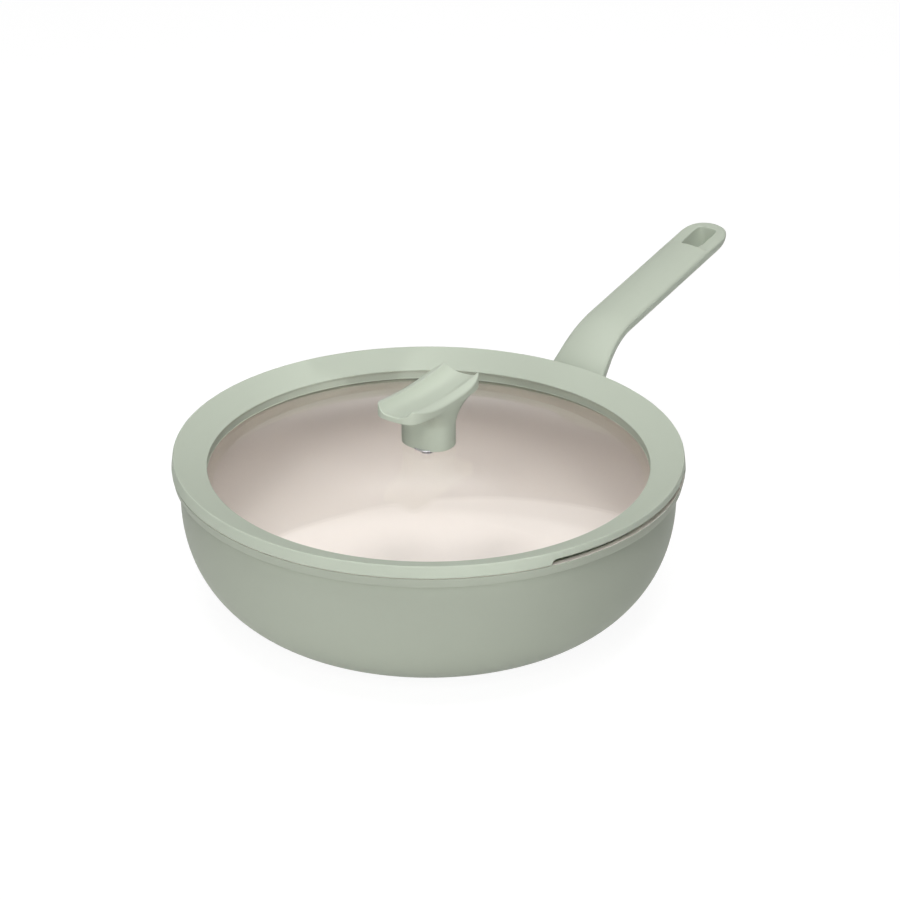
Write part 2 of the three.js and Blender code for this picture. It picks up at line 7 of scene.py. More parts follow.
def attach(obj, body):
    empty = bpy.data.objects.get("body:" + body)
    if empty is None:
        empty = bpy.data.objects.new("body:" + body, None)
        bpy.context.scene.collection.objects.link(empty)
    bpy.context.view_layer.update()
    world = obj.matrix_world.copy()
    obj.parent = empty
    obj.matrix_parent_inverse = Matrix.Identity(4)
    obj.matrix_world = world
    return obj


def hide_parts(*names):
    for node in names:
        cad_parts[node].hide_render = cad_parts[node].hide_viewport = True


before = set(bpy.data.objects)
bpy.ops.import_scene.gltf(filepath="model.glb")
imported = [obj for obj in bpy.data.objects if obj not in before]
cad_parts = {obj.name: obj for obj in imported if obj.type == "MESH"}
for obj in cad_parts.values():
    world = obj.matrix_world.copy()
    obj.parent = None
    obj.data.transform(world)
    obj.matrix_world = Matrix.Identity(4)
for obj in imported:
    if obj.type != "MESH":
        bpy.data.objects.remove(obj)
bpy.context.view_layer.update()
mm = 0.001
tau = 2 * np.pi
weld = dict(join=0.004, thin=0.001)
print("frame loaded:", len(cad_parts), "nodes")


# Smooth step from 0 at a to 1 at b.
def easeStep(a, b, x):
    t = np.clip((x - a) / (b - a), 0, 1)
    return t * t * (3 - 2 * t)


# The value a share t of the way from a to b.
def blendBetween(a, b, t):
    return a + (b - a) * t


# Quads of a grid of points; rows or columns may run round and join themselves.
def gridFaces(rows, cols, wrapRows, wrapCols):
    i = np.arange(rows if wrapRows else rows - 1)
    j = np.arange(cols if wrapCols else cols - 1)
    a, b = np.meshgrid(i, j, indexing="ij")
    a2, b2 = (a + 1) % rows, (b + 1) % cols
    quads = np.stack([a * cols + b, a * cols + b2, a2 * cols + b2, a2 * cols + b], axis=-1)
    return quads.reshape(-1, 4)


# A line through (r, z, reach) corners: straight runs, each corner rounded by a parabola
# that starts "reach" before the corner and ends as far after it.
def softLine(corners, closed=False, steps=8):
    spots = np.array([corner[:2] for corner in corners], float)
    t = np.linspace(0, 1, steps)[:, None]
    runs = []
    for k, spot in enumerate(spots):
        reach = corners[k][2]
        atEnd = k in (0, len(spots) - 1) and not closed
        if reach == 0 or atEnd:
            runs.append(spot[None])
            continue
        before = spots[k - 1] - spot
        after = spots[(k + 1) % len(spots)] - spot
        start = spot + before / np.linalg.norm(before) * reach
        end = spot + after / np.linalg.norm(after) * reach
        runs.append((1 - t) ** 2 * start + 2 * t * (1 - t) * spot + t ** 2 * end)
    return np.concatenate(runs)


# A profile of radius and height carried round an upright axis at a place.
def turned(profile, angles, place=(0, 0)):
    r, z = np.asarray(profile, float).T
    x = place[0] + np.outer(np.cos(angles), r)
    y = place[1] + np.outer(np.sin(angles), r)
    return np.stack([x, y, np.broadcast_to(z, x.shape)], axis=-1)


# Even angles once round.
def fullTurn(count):
    return np.arange(count) * tau / count


# Rounded oblong: the point at each turn of an ellipse pushed out to |x/a|^p + |y/b|^p = 1.
def oblong(halfX, halfY, power, turn):
    c, s = np.cos(turn), np.sin(turn)
    out = (np.abs(c) ** power + np.abs(s) ** power) ** (-1 / power)
    return halfX * out * c, halfY * out * s


# One mesh from grids of points, each with its own finish.
def bareMesh(name, sheets):
    points, quads, marks, count = [], [], [], 0
    for sheet in sheets:
        rows, cols = sheet["points"].shape[:2]
        faces = gridFaces(rows, cols, sheet.get("wrapRows", False), sheet.get("wrapCols", False))
        points.append(sheet["points"].reshape(-1, 3))
        quads.append(faces + count)
        marks.append(np.full(len(faces), sheet.get("finish", 0)))
        count += rows * cols
    spots = np.concatenate(points) * mm
    corners = np.concatenate(quads).astype(np.int32)
    mesh = bpy.data.meshes.new(name)
    mesh.vertices.add(len(spots))
    mesh.vertices.foreach_set("co", spots.astype(np.float32).ravel())
    mesh.loops.add(corners.size)
    mesh.loops.foreach_set("vertex_index", corners.ravel())
    mesh.polygons.add(len(corners))
    mesh.polygons.foreach_set("loop_start", np.arange(0, corners.size, 4, dtype=np.int32))
    mesh.polygons.foreach_set("material_index", np.concatenate(marks).astype(np.int32))
    mesh.update(calc_edges=True)
    work = bmesh.new()  # close seams and poles, then turn the faces outwards
    work.from_mesh(mesh)
    bmesh.ops.remove_doubles(work, verts=work.verts, dist=weld["join"] * mm)
    bmesh.ops.dissolve_degenerate(work, edges=work.edges, dist=weld["thin"] * mm)
    bmesh.ops.recalc_face_normals(work, faces=work.faces)
    work.to_mesh(mesh)
    work.free()
    return mesh


# An object with its mesh, lamp or camera, put into the scene.
def addObject(name, data):
    obj = bpy.data.objects.new(name, data)
    bpy.context.scene.collection.objects.link(obj)
    return obj


# Cuts closed shapes out of a piece.
def carve(piece, cutters):
    for k, sheets in enumerate(cutters):
        tool = addObject(f"{piece.name}Cutter{k}", bareMesh(f"{piece.name}Cutter{k}", sheets))
        cut = piece.modifiers.new("cut", "BOOLEAN")
        cut.operation = "DIFFERENCE"
        cut.solver = "EXACT"
        cut.object = tool
        bpy.context.view_layer.update()
        view = bpy.context.evaluated_depsgraph_get()
        shaped = bpy.data.meshes.new_from_object(piece.evaluated_get(view))
        piece.modifiers.remove(cut)
        piece.data = shaped
        bpy.data.objects.remove(tool)


# A finished piece: its mesh, finishes and shading, the body that it rides on and what it stands for.
def makePiece(name, sheets, finishes, body, nodes, cutters=(), sharp=38):
    piece = addObject(name, bareMesh(name, sheets))
    for finish in finishes:
        piece.data.materials.append(finish)
    if cutters:
        carve(piece, cutters)
    piece.data.shade_smooth()
    piece.data.set_sharp_from_angle(angle=np.radians(sharp))
    even = piece.modifiers.new("even", "WEIGHTED_NORMAL")
    even.keep_sharp = True
    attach(piece, body)
    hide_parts(*nodes)
    print("made", name, len(piece.data.polygons), "faces")
    return piece


# Finishes: shared node groups first

# A group with inputs of its own, two tones and two limits of gloss, and what every finish takes from it.
def newGroup(name, own):
    group = bpy.data.node_groups.new(name, "ShaderNodeTree")
    scales = [(label, "NodeSocketFloat") for label in own + ["Low Gloss", "High Gloss"]]
    for label, kind in scales + [("Light Tone", "NodeSocketColor"), ("Dark Tone", "NodeSocketColor")]:
        group.interface.new_socket(label, in_out="INPUT", socket_type=kind)
    for label in ("Colour", "Roughness", "Height"):
        kind = "NodeSocketColor" if label == "Colour" else "NodeSocketFloat"
        group.interface.new_socket(label, in_out="OUTPUT", socket_type=kind)
    return group, group.nodes.new("NodeGroupInput"), group.nodes.new("NodeGroupOutput")


# Each socket takes a value, or a link where it is given another node's output.
def feed(tree, node, inputs):
    for label, given in inputs.items():
        if isinstance(given, bpy.types.NodeSocket):
            tree.links.new(given, node.inputs[label])
        else:
            node.inputs[label].default_value = given
    return node


# A shader node with its settings first, then its inputs.
def addNode(tree, kind, inputs=None, **settings):
    node = tree.nodes.new("ShaderNode" + kind)
    for name, value in settings.items():
        setattr(node, name, value)
    return feed(tree, node, inputs or {})


# A new material, its node tree and its shader.
def newMaterial(name):
    material = bpy.data.materials.new(name)
    material.use_nodes = True
    return material, material.node_tree, material.node_tree.nodes["Principled BSDF"]


patternLook = dict(grainDetail=3, cloudDetail=4, cloudShare=0.66, ringDetail=2)


# Tone and gloss run between their limits by one share from 0 to 1; the height is passed on.
def fillGroup(group, source, sink, share, height):
    given = source.outputs
    tone = addNode(group, "Mix", {
        "Factor": share, "A": given["Dark Tone"], "B": given["Light Tone"],
    }, data_type="RGBA")
    gloss = addNode(group, "MapRange", {
        "Value": share, "To Min": given["Low Gloss"], "To Max": given["High Gloss"],
    })
    feed(group, sink, {
        "Colour": tone.outputs["Result"], "Roughness": gloss.outputs["Result"], "Height": height,
    })
    return group


# Moulded skin: fine grain for the bump, and a third grain with two thirds cloud for tone and gloss.
def makeSkinGroup():
    group, source, sink = newGroup("mouldedSkin", ["Grain Scale", "Cloud Scale"])
    place = addNode(group, "TexCoord").outputs["Object"]
    noises = []
    for label, detail in (("Grain Scale", "grainDetail"), ("Cloud Scale", "cloudDetail")):
        noise = addNode(group, "TexNoise", {
            "Vector": place, "Scale": source.outputs[label], "Detail": patternLook[detail],
        })
        noises.append(noise.outputs["Fac"])
    shares = addNode(group, "Mix", {"Factor": patternLook["cloudShare"], "A": noises[0], "B": noises[1]})
    return fillGroup(group, source, sink, shares.outputs["Result"], noises[0])


# Turned metal: noise along the distance from the upright axis, in uneven rings as a lathe leaves them.
def makeTurnedGroup():
    group, source, sink = newGroup("turnedRings", ["Ring Scale"])
    place = addNode(group, "TexCoord").outputs["Object"]
    flat = addNode(group, "VectorMath", {0: place, 1: (1, 1, 0)}, operation="MULTIPLY")
    reach = addNode(group, "VectorMath", {0: flat.outputs["Vector"]}, operation="LENGTH")
    rings = addNode(group, "TexNoise", {
        "W": reach.outputs["Value"], "Scale": source.outputs["Ring Scale"],
        "Detail": patternLook["ringDetail"],
    }, noise_dimensions="1D")
    return fillGroup(group, source, sink, rings.outputs["Fac"], rings.outputs["Fac"])


skinGroup = makeSkinGroup()
turnedGroup = makeTurnedGroup()


# A material with one of the groups in front of its shader. Its two tones lie a spread above and below
# its colour; gloss gives two limits, and bump a strength and a depth.
def makeFinish(name, group, scales, sockets, colour, gloss, bump, spread=0.03):
    material, tree, shader = newMaterial(name)
    light, dark = [tuple(c * (1 + part) for c in colour) + (1,) for part in (spread, -spread)]
    pattern = addNode(tree, "Group", {
        **scales, "Low Gloss": gloss[0], "High Gloss": gloss[1], "Light Tone": light, "Dark Tone": dark,
    }, node_tree=group)
    relief = addNode(tree, "Bump", {
        "Strength": bump[0], "Distance": bump[1] * mm, "Height": pattern.outputs["Height"],
    })
    feed(tree, shader, {
        **sockets, "Base Color": pattern.outputs["Colour"],
        "Roughness": pattern.outputs["Roughness"], "Normal": relief.outputs["Normal"],
    })
    return material


# Moulded skin with scales for its grain and cloud; other sockets are the shader's own.
def skinFinish(name, grain, cloud, sockets, **look):
    return makeFinish(name, skinGroup, {"Grain Scale": grain, "Cloud Scale": cloud}, sockets, **look)


# Turned metal with a scale for its rings.
def turnedFinish(name, ring, **look):
    return makeFinish(name, turnedGroup, {"Ring Scale": ring}, {"Metallic": 1.0}, **look)


outerCoat = skinFinish("outerCoat", 700.0, 14.0, {"Specular IOR Level": 0.06},
                       colour=(0.425, 0.46, 0.385), gloss=(0.42, 0.54), bump=(0.06, 0.05))
innerCoat = skinFinish("innerCoat", 1100.0, 18.0, {"Specular IOR Level": 0.4},
                       colour=(0.945, 0.87, 0.81), gloss=(0.30, 0.42), bump=(0.05, 0.04), spread=0.015)
siliconeSkin = skinFinish("siliconeSkin", 1800.0, 20.0, {"Specular IOR Level": 0.25},
                          colour=(0.508, 0.56, 0.467), gloss=(0.58, 0.72), bump=(0.08, 0.04))
gripSkin = skinFinish("gripSkin", 2200.0, 22.0, {"Specular IOR Level": 0.3},
                      colour=(0.508, 0.56, 0.467), gloss=(0.50, 0.62), bump=(0.10, 0.04))
sealSkin = skinFinish("sealSkin", 1800.0, 40.0, {"Specular IOR Level": 0.35},
                      colour=(0.70, 0.70, 0.67), gloss=(0.55, 0.7), bump=(0.08, 0.04))
castMetal = skinFinish("castMetal", 900.0, 60.0, {"Metallic": 1.0},
                       colour=(0.55, 0.56, 0.57), gloss=(0.38, 0.55), bump=(0.25, 0.08), spread=0.06)
plateSteel = turnedFinish("plateSteel", 1400.0, colour=(0.52, 0.52, 0.53), gloss=(0.24, 0.40),
                          bump=(0.2, 0.02), spread=0.08)
brightSteel = turnedFinish("brightSteel", 3000.0, colour=(0.60, 0.60, 0.62), gloss=(0.14, 0.26),
                           bump=(0.1, 0.01), spread=0.05)
brassMetal = turnedFinish("brassMetal", 2500.0, colour=(0.60, 0.42, 0.16), gloss=(0.22, 0.36),
                          bump=(0.15, 0.01), spread=0.06)


glassLook = dict(
    tint=(0.99, 0.99, 0.985, 1), bend=1.47, waveScale=18.0, waveGloss=0.02, waveBump=0.02, waveDepth=0.2,
    slantBlend=0.5, dullFrom=0.40, dullTo=0.75, dullMost=0.80, passFrom=0.27, passTo=0.66, passLeast=0.06,
)


# Clear tempered glass; lamps shine through it, so that the pan under the lid is lit.
def makeGlass():
    look = glassLook
    material, tree, shader = newMaterial("clearGlass")
    place = addNode(tree, "TexCoord").outputs["Object"]
    # Slow waves that tempering leaves.
    waves = addNode(tree, "TexNoise", {"Vector": place, "Scale": look["waveScale"]}).outputs["Fac"]
    gloss = addNode(tree, "MapRange", {"Value": waves, "To Max": look["waveGloss"]})
    bump = addNode(tree, "Bump", {
        "Strength": look["waveBump"], "Distance": look["waveDepth"] * mm, "Height": waves,
    })
    feed(tree, shader, {
        "Base Color": look["tint"], "Transmission Weight": 1.0, "IOR": look["bend"],
        "Roughness": gloss.outputs["Result"], "Normal": bump.outputs["Normal"],
    })
    # The mirror image fades where the glass is seen at a slant, and plain refraction takes its place.
    plain = addNode(tree, "BsdfRefraction", {
        "Color": look["tint"], "IOR": look["bend"], "Roughness": 0.0, "Normal": bump.outputs["Normal"],
    })
    facing = addNode(tree, "LayerWeight", {"Blend": look["slantBlend"]}).outputs["Facing"]
    dull = addNode(tree, "MapRange", {
        "Value": facing, "From Min": look["dullFrom"], "From Max": look["dullTo"],
        "To Max": look["dullMost"],
    }, interpolation_type="SMOOTHSTEP")
    calm = addNode(tree, "MixShader", {
        "Fac": dull.outputs["Result"], 1: shader.outputs["BSDF"], 2: plain.outputs["BSDF"],
    })
    # Light that meets the glass at a slant glances off.
    letThrough = addNode(tree, "ValToRGB", {"Fac": facing})
    first, last = letThrough.color_ramp.elements
    first.position = look["passFrom"]
    first.color = (1, 1, 1, 1)
    last.position = look["passTo"]
    last.color = (look["passLeast"],) * 3 + (1,)
    clear = addNode(tree, "BsdfTransparent", {"Color": letThrough.outputs["Color"]})
    rays = addNode(tree, "LightPath").outputs
    either = addNode(tree, "Math", {
        0: rays["Is Shadow Ray"], 1: rays["Is Diffuse Ray"],
    }, operation="MAXIMUM")
    mix = addNode(tree, "MixShader", {
        "Fac": either.outputs["Value"], 1: calm.outputs["Shader"], 2: clear.outputs["BSDF"],
    })
    feed(tree, tree.nodes["Material Output"], {"Surface": mix.outputs["Shader"]})
    return material


clearGlass = makeGlass()
print("finishes made")

# Pan body: a round wall line with its rim band, sage outside and cream inside

pan = dict(
    rimHeight=86.6, wallRadius=141.1, rimOut=5.2, bandHeight=5.7, bandTaper=1.3, cove=1.7,
    coveOut=0.15, coveDown=0.25, landWidth=4.0, flare=0.6, wall=3.5, lean=5.4, wallReach=58.0,
    baseReach=16.0, baseRadius=90.0, baseThick=5.0, recessRadius=68.3, recessDepth=0.8,
    recessRound=0.1, recessEdge=0.25, edgeRound=0.9, lipRound=1.0, bandFootRound=0.8, coveRound=0.35,
    creamSteps=2, segments=192, wallSteps=44, flareSteps=12, lipSteps=3, floorRings=(0.75, 0.5, 0.25, 0),
)
rimRadius = pan["wallRadius"] + pan["rimOut"]
bandLow = pan["rimHeight"] - pan["bandHeight"]
wallTop = bandLow - pan["cove"]
panInner = pan["wallRadius"] - pan["wall"]


# Wall line: a cubic curve from under the band down and round to the flat base, moved inwards
# along its own normal by a thickness that changes from the wall to the base.
def wallLine(atWall, atBase, steps):
    u = np.linspace(0, 1, steps)[:, None]
    lean = np.radians(pan["lean"])
    a = np.array([pan["wallRadius"], wallTop])
    b = a + np.array([np.sin(lean), -np.cos(lean)]) * pan["wallReach"]
    c = np.array([pan["baseRadius"] + pan["baseReach"], 0])
    d = np.array([pan["baseRadius"], 0])
    spot = (1 - u) ** 3 * a + 3 * u * (1 - u) ** 2 * b + 3 * u ** 2 * (1 - u) * c + u ** 3 * d
    slope = 3 * (1 - u) ** 2 * (b - a) + 6 * u * (1 - u) * (c - b) + 3 * u ** 2 * (d - c)
    slope = slope / np.linalg.norm(slope, axis=1, keepdims=True)
    inwards = np.stack([slope[:, 1], -slope[:, 0]], axis=-1)
    return spot + inwards * blendBetween(atWall, atBase, u)


# Base, wall and band outside, then over the rim, down a quarter round and along the wall inside.
def makePan():
    p = pan
    angles = fullTurn(p["segments"])
    wall = wallLine(0, 0, p["wallSteps"])[::-1]
    coveSpot = (blendBetween(p["wallRadius"], rimRadius - p["bandTaper"], p["coveOut"]),
                bandLow - p["cove"] * p["coveDown"])
    base = softLine([
        (0, p["recessDepth"], 0),
        (p["recessRadius"], p["recessDepth"], p["recessRound"]),
        (p["recessRadius"], 0, p["recessEdge"]),
        (p["baseRadius"], 0, 0),
    ])
    band = softLine([
        (*wall[-1], 0),
        (*coveSpot, p["coveRound"]),
        (rimRadius - p["bandTaper"], bandLow, p["bandFootRound"]),
        (rimRadius, p["rimHeight"], p["edgeRound"]),
        (rimRadius - p["landWidth"], p["rimHeight"], 0),
    ])[:-1]
    coatEdge = len(band) - p["creamSteps"]  # the inside's coat runs out over the rounded edge
    outside = np.concatenate([base[:-1], wall[:-1], band[:coatEdge]])
    t = np.linspace(0, 1, p["flareSteps"])[:, None]
    lip = np.array([rimRadius - p["landWidth"], p["rimHeight"]])
    bend = np.array([panInner, blendBetween(wallTop, p["rimHeight"], p["flare"])])
    foot = np.array([panInner, wallTop])
    flare = (1 - t) ** 2 * lip + 2 * t * (1 - t) * bend + t ** 2 * foot
    inside = np.concatenate([
        band[coatEdge - 1:],
        softLine([(*band[-1], 0), (*lip, p["lipRound"]), (*flare[p["lipSteps"]], 0)])[1:],
        flare[p["lipSteps"] + 1:-1],
        wallLine(p["wall"], p["baseThick"], p["wallSteps"]),
        np.array([[p["baseRadius"] * k, p["baseThick"]] for k in p["floorRings"]]),
    ])
    sheets = [
        dict(points=turned(outside, angles), wrapRows=True, finish=0),
        dict(points=turned(inside, angles), wrapRows=True, finish=1),
    ]
    return makePiece("panShell", sheets, [outerCoat, innerCoat], "pan", ["pan_body"])


makePan()

# Induction plate: a turned disc with a chamfered edge and rings of holes

plate = dict(
    radius=68.0, thick=0.8, chamfer=0.25, holeRadius=3.2, overcut=1.0, rings=((22, 6), (38, 10), (54, 14)),
    segments=160, holeSegments=32,
)


# A closed rod about an upright line, to cut a round hole.
def rod(radius, low, high, segments, place=(0, 0)):
    corners = [(0, low), (radius, low), (radius, high), (0, high)]
    return dict(points=turned(corners, fullTurn(segments), place), wrapRows=True)


# A disc with its holes cut through, ring by ring.
def makePlate():
    p = plate
    profile = softLine([
        (0, 0, 0),
        (p["radius"], 0, p["chamfer"]),
        (p["radius"], p["thick"], p["chamfer"]),
        (0, p["thick"], 0),
    ])
    sheets = [dict(points=turned(profile, fullTurn(p["segments"])), wrapRows=True)]
    holes = []
    for ring, count in p["rings"]:
        for turn in fullTurn(count):
            place = (ring * np.cos(turn), ring * np.sin(turn))
            low, high = -p["overcut"], p["thick"] + p["overcut"]
            holes.append(rod(p["holeRadius"], low, high, p["holeSegments"], place))
    return makePiece("basePlate", sheets, [plateSteel], "pan", ["induction_plate"], [holes])


makePlate()

# Handle: a crowned top face and a round belly carried along the neck, the bend and the grip

handle = dict(
    drop=15.0, neckAngle=41.3, neckLength=49.9, neckWidth=43.0, neckTaper=1.7, neckDepth=18.0,
    bendRadius=58.0, gripAngle=9.5, gripLength=138.9, gripWidth=29.5, gripDepth=13.0, side=1.2,
    crown=2.6, edgeRound=2.4, tipLength=17.0, tipPower=2.4, holeLength=24.4, holeWidth=13.8,
    holeMargin=6.2, holePower=4.4, holeRound=0.5, holeDraft=0.18, landStep=2.4, wallGap=0.3,
    screwPlace=21.0, headRecess=5.2, recessLow=-40.0, washerSeat=-12.5, wallRun=14.0, searchFrom=-60.0,
    searchTo=25.0, halvings=40, cutUnder=2.0, cutOver=8.0, topSteps=49, bellySteps=41, wallRows=7,
    alongStep=2.2, stepRows=8, landRows=6, tipRows=22, capRows=8, roundRows=7, shutRows=4, wallSamples=200,
    slopeStep=0.01, holeSegments=96, recessSegments=64,
)
neckAngle = np.radians(handle["neckAngle"])
gripAngle = np.radians(handle["gripAngle"])
bendTurn = neckAngle - gripAngle
bendTangent = handle["bendRadius"] * np.tan(bendTurn / 2)
neckStraight = handle["neckLength"] - bendTangent
bendLength = handle["bendRadius"] * bendTurn
handleLength = neckStraight + bendLength + handle["gripLength"] - bendTangent
holeEnd = handleLength - handle["holeMargin"]
landStart = holeEnd - handle["holeLength"]


# Edge line of the handle in the plane of its length: straight neck, round bend, straight grip.
# A point stands s along it, y across and h up from it.
def handleSpot(s, y, h):
    onNeck = np.minimum(s, neckStraight)
    angle = neckAngle - np.clip(s - neckStraight, 0, bendLength) / handle["bendRadius"]
    onGrip = np.maximum(s - neckStraight - bendLength, 0)
    x = (pan["wallRadius"] + onNeck * np.cos(neckAngle) + onGrip * np.cos(gripAngle)
         + handle["bendRadius"] * (np.sin(neckAngle) - np.sin(angle)))
    z = (pan["rimHeight"] - handle["drop"] + onNeck * np.sin(neckAngle) + onGrip * np.sin(gripAngle)
         + handle["bendRadius"] * (np.cos(angle) - np.cos(neckAngle)))
    x, z, y = np.broadcast_arrays(x - np.sin(angle) * h, z + np.cos(angle) * h, y)
    return np.stack([x, y, z], axis=-1)


# Half width and belly depth of the section at s; both close in at the rounded tip.
def handleHalf(s):
    along = np.clip(s / (neckStraight + bendLength), 0, 1)
    intoTip = np.clip((s - handleLength + handle["tipLength"]) / handle["tipLength"], 0, 1)
    rounding = (1 - intoTip ** handle["tipPower"]) ** (1 / handle["tipPower"])
    width = blendBetween(handle["gripWidth"], handle["neckWidth"], (1 - along) ** handle["neckTaper"])
    depth = blendBetween(handle["neckDepth"], handle["gripDepth"], along) - handle["side"]
    return width / 2 * rounding, depth * rounding


# Top face: a parabola across the grip, flat round the hanging hole, rolled over at its outline.
def handleTop(s, across):
    half = handleHalf(s)[0]
    step = handle["slopeStep"]
    slope = (handleHalf(np.minimum(s + step, handleLength))[0] - handleHalf(s - step)[0]) / (2 * step)
    fromEdge = half * (1 - np.abs(across)) / np.sqrt(1 + slope ** 2)
    roll = 1 - np.sqrt(1 - np.clip(1 - fromEdge / handle["edgeRound"], 0, 1) ** 2)
    crown = handle["crown"] * (1 - easeStep(landStart - handle["landStep"], landStart, s))
    return half * across, crown * (1 - across ** 2) - handle["side"] * roll


# Belly: half an ellipse under the sides.
def handleBelly(s, turn):
    half, depth = handleHalf(s)
    return half * np.cos(turn), -handle["side"] - depth * np.sin(turn)


# Upright things set square to the neck, at the screw's place.
def onNeckLine(grid):
    return handleSpot(handle["screwPlace"] + grid[..., 0], grid[..., 1], grid[..., 2])


# Where along the neck a section point meets the pan's outer wall, found by halving the span.
def meetWall(y, h):
    wall = wallLine(-handle["wallGap"], -handle["wallGap"], handle["wallSamples"])[::-1]
    low = np.full(np.shape(y), handle["searchFrom"])
    high = np.full(np.shape(y), handle["searchTo"])
    for _ in range(handle["halvings"]):
        middle = (low + high) / 2
        spot = handleSpot(middle, y, h)
        reach = np.hypot(spot[..., 0], spot[..., 1])
        limit = np.interp(spot[..., 2], wall[:, 1], wall[:, 0], right=wall[-1, 0])
        low = np.where(reach < limit, middle, low)
        high = np.where(reach < limit, high, middle)
    return high


# Top and belly row by row from the wall to the tip, a cap at the wall, and the cuts in them.
def makeHandle():
    p = handle
    fromWall = p["wallRun"]
    tipStart = handleLength - p["tipLength"]
    rows = np.concatenate([
        np.arange(fromWall, landStart - p["landStep"], p["alongStep"]),
        np.linspace(landStart - p["landStep"], landStart, p["stepRows"])[:-1],
        np.linspace(landStart, tipStart, p["landRows"])[:-1],
        tipStart + p["tipLength"] * np.sin(np.linspace(0, np.pi / 2, p["tipRows"])),
    ])[:, None]
    across = np.sin(np.linspace(-np.pi / 2, np.pi / 2, p["topSteps"]))[None]
    turn = np.linspace(0, np.pi, p["bellySteps"])[None]
    u = np.linspace(0, 1, p["wallRows"])[:, None]
    sheets, starts = [], []
    for section, places in ((handleTop, across), (handleBelly, turn)):
        # The neck narrows from the wall on, so its first rows take each row's own width.
        start = section(np.zeros((1, 1)), places)
        first = handleSpot(blendBetween(meetWall(*start), fromWall, u), *section(fromWall * u, places))
        rest = handleSpot(rows, *section(rows, places))
        sheets.append(dict(points=np.concatenate([first[:-1], rest])))
        starts.append(start)
    # The end at the wall follows the wall, closed from its outline to its middle.
    (topY, topH), (bellyY, bellyH) = starts
    ringY = np.concatenate([topY[0], bellyY[0][1:-1]])
    ringH = np.concatenate([topH[0], bellyH[0][1:-1]])
    shrink = np.linspace(1, 0, p["capRows"])[:, None]
    middleH = -p["neckDepth"] / 2
    capY = ringY * shrink
    capH = middleH + (ringH - middleH) * shrink
    sheets.append(dict(points=handleSpot(meetWall(capY, capH), capY, capH), wrapCols=True))
    # Hanging hole: an oblong sunk square to the grip, drawn in as it goes down, its upper edge rounded.
    edge = np.linspace(-p["holeRound"], 0, p["roundRows"])
    depth = np.concatenate([[-p["gripDepth"] - p["cutUnder"]], edge, [p["cutOver"]]])[:, None]
    grow = p["holeRound"] * (1 - np.sqrt(1 - np.clip(1 + depth / p["holeRound"], 0, 1) ** 2))
    grow = grow + p["holeDraft"] * np.minimum(depth, 0)
    ring = fullTurn(p["holeSegments"])[None]
    along, wide = oblong(p["holeLength"] / 2 + grow, p["holeWidth"] / 2 + grow, p["holePower"], ring)
    walls = handleSpot((landStart + holeEnd) / 2 + along, wide, depth)
    shut = np.linspace(1, 0, p["shutRows"])[:, None, None]
    low = walls[:1] * shut + walls[0].mean(axis=0) * (1 - shut)
    high = walls[-1:] * shut + walls[-1].mean(axis=0) * (1 - shut)
    hole = [dict(points=np.concatenate([low[::-1][:-1], walls, high[1:]]), wrapCols=True)]
    # Recess for the screw under the neck.
    recess = rod(p["headRecess"], p["recessLow"], p["washerSeat"], p["recessSegments"])
    recess["points"] = onNeckLine(recess["points"])
    cutters = [hole, [recess]]
    return makePiece("handleShell", sheets, [gripSkin], "pan", ["handle_grip"], cutters)


makeHandle()

# Lid glass: a shallow dome of even thickness, with holes for the vent and the knob's screw

lid = dict(
    seat=0.3, bandHeight=7.3, bandLean=0.8, funnelDrop=7.1, lipHeight=5.6, lipOverhang=0.6, lipThick=1.6,
    lipToe=0.4, lowerLip=1.2, lowerLipSetback=4.2, gripGap=0.04, skirtGap=1.0, skirtWall=4.1,
    glassThick=4.0, glassBite=6.0, glassRise=17.2, glassEdge=1.2, glassSegments=192, glassRings=40,
    holeLow=85.0, holeHigh=105.0, holeSegments=48, ventTurn=207.0,
)
lidLow = pan["rimHeight"] + lid["seat"]
ridgeHeight = lidLow + lid["bandHeight"]
skirtRadius = panInner - lid["skirtGap"]
grooveRadius = skirtRadius - lid["skirtWall"]
glassRadius = grooveRadius - lid["seat"]
lipRadius = glassRadius - lid["glassBite"]
lipTop = ridgeHeight - lid["funnelDrop"]
domeRadius = (lipRadius ** 2 + lid["glassRise"] ** 2) / (2 * lid["glassRise"])
domeCentre = lipTop - lid["lipHeight"] + lid["glassRise"] - domeRadius
ventTurn = np.radians(lid["ventTurn"])
vent = dict(
    offset=6.2, bore=2.4, barrel=3.0, flange=8.0, flangeThick=1.0, curl=4.0, curlThick=0.6, funnel=0.3,
    hole=3.3,
)
fastener = dict(
    offset=7.4, screw=2.0, head=4.0, headHeight=2.4, insert=3.6, insertLength=11.0, seal=1.2,
    sealUpper=4.1, sealLower=5.5, sleeve=0.6, washer=5.5, washerThick=0.8, gap=0.3, bite=0.8, hole=3.2,
)
ventPlace = (vent["offset"] * np.cos(ventTurn), vent["offset"] * np.sin(ventTurn))
screwPlace = (-fastener["offset"] * np.cos(ventTurn), -fastener["offset"] * np.sin(ventTurn))


# Heights of the dome's two faces at a radius: two spheres about one centre.
def glassTop(r):
    return domeCentre + np.sqrt(domeRadius ** 2 - np.square(r))


def glassLow(r):
    return domeCentre + np.sqrt((domeRadius - lid["glassThick"]) ** 2 - np.square(r))


